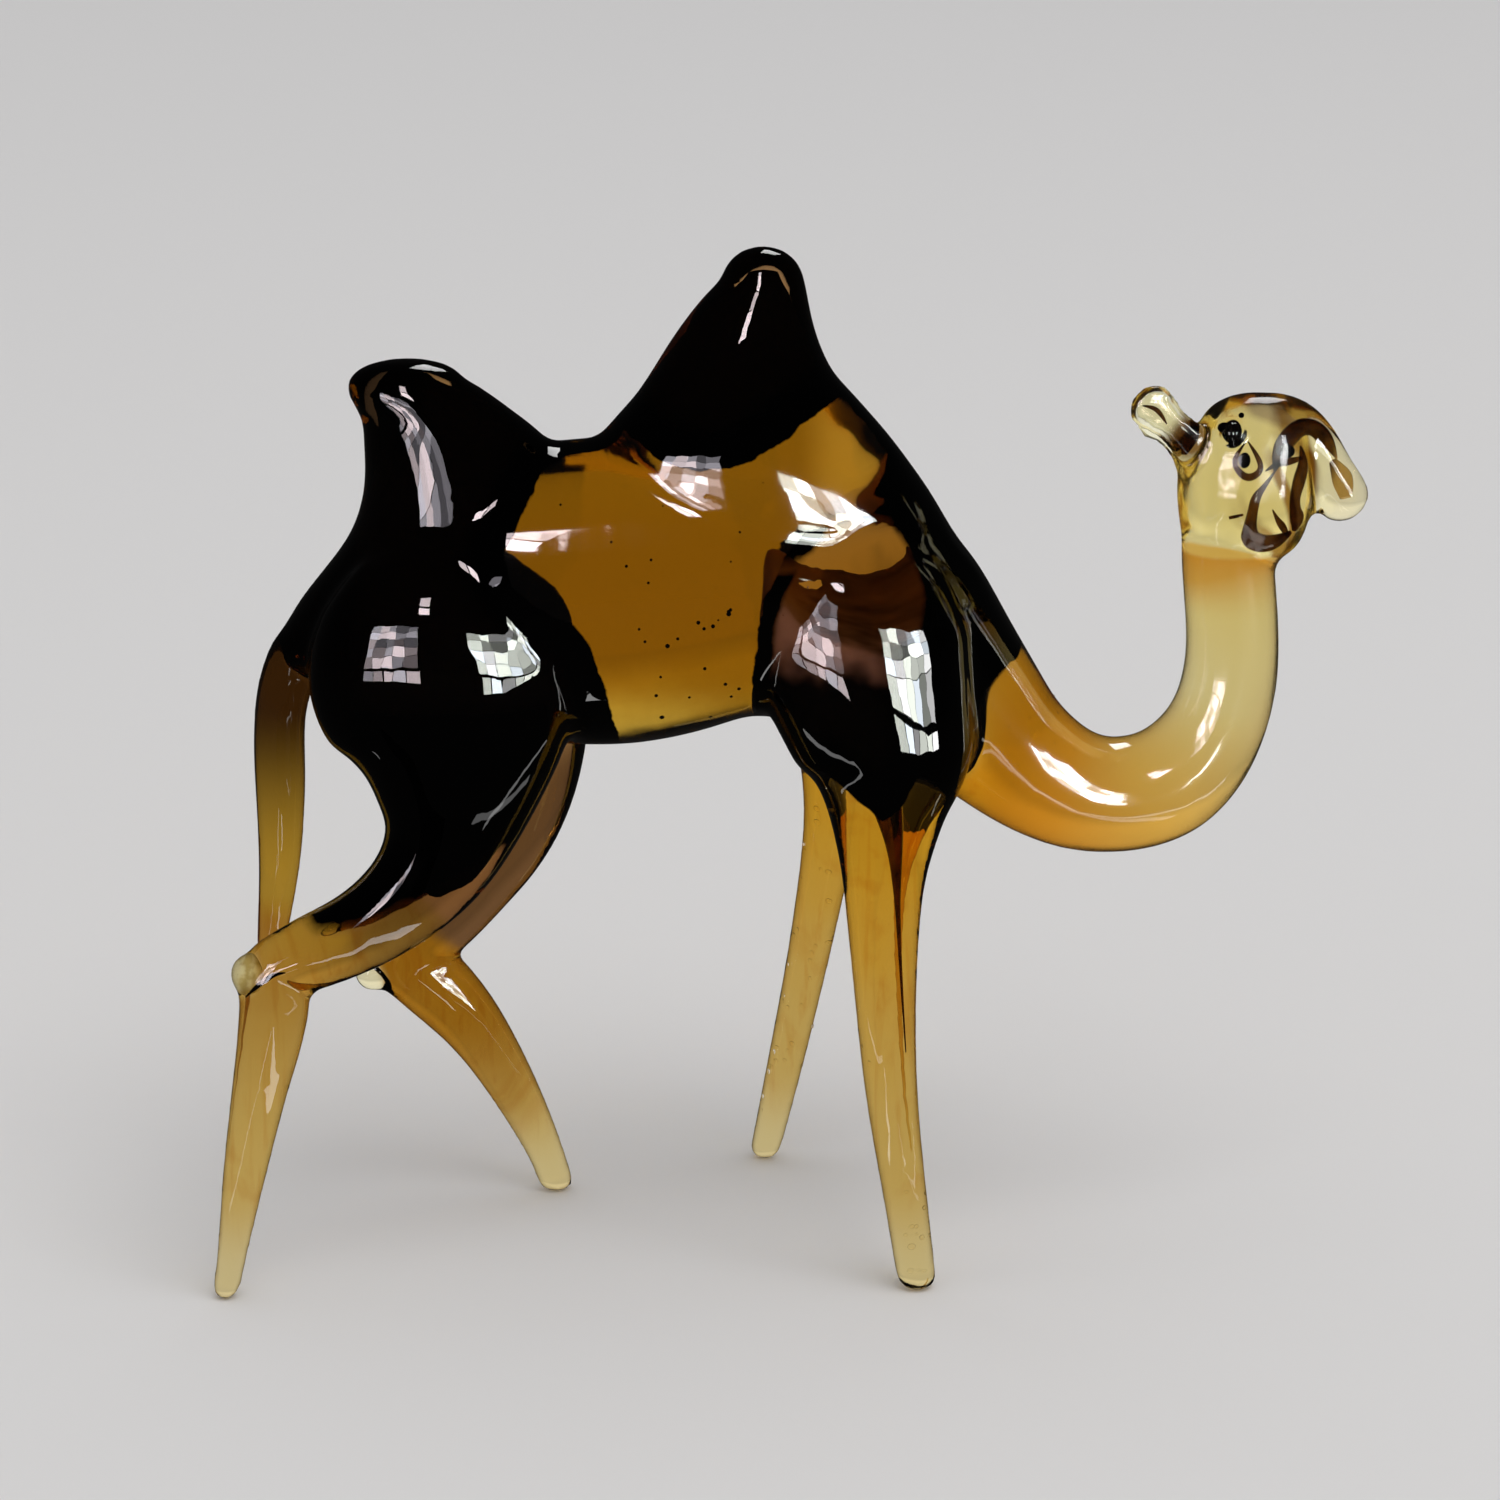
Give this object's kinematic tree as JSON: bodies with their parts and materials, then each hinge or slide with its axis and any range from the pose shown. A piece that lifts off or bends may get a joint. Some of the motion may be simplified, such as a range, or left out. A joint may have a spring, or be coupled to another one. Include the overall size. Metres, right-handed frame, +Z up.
{
  "type": "glass camel figurine",
  "caption": "Solid glass two-humped camel figurine in amber and near-black glass, free standing on slender legs.",
  "frame": {"origin": "middle of the footprint box, on the surface that the feet stand on", "axes": "+X from tail to head, +Y to the camel's left, +Z up"},
  "size_m": [0.0906, 0.0314, 0.0789],
  "materials": {
    "fused_glass": "fire-polished clear amber glass with near-black glass fused in"
  },
  "bodies": {
    "root": {"glass_camel": "fused_glass"}
  },
  "joints": []
}
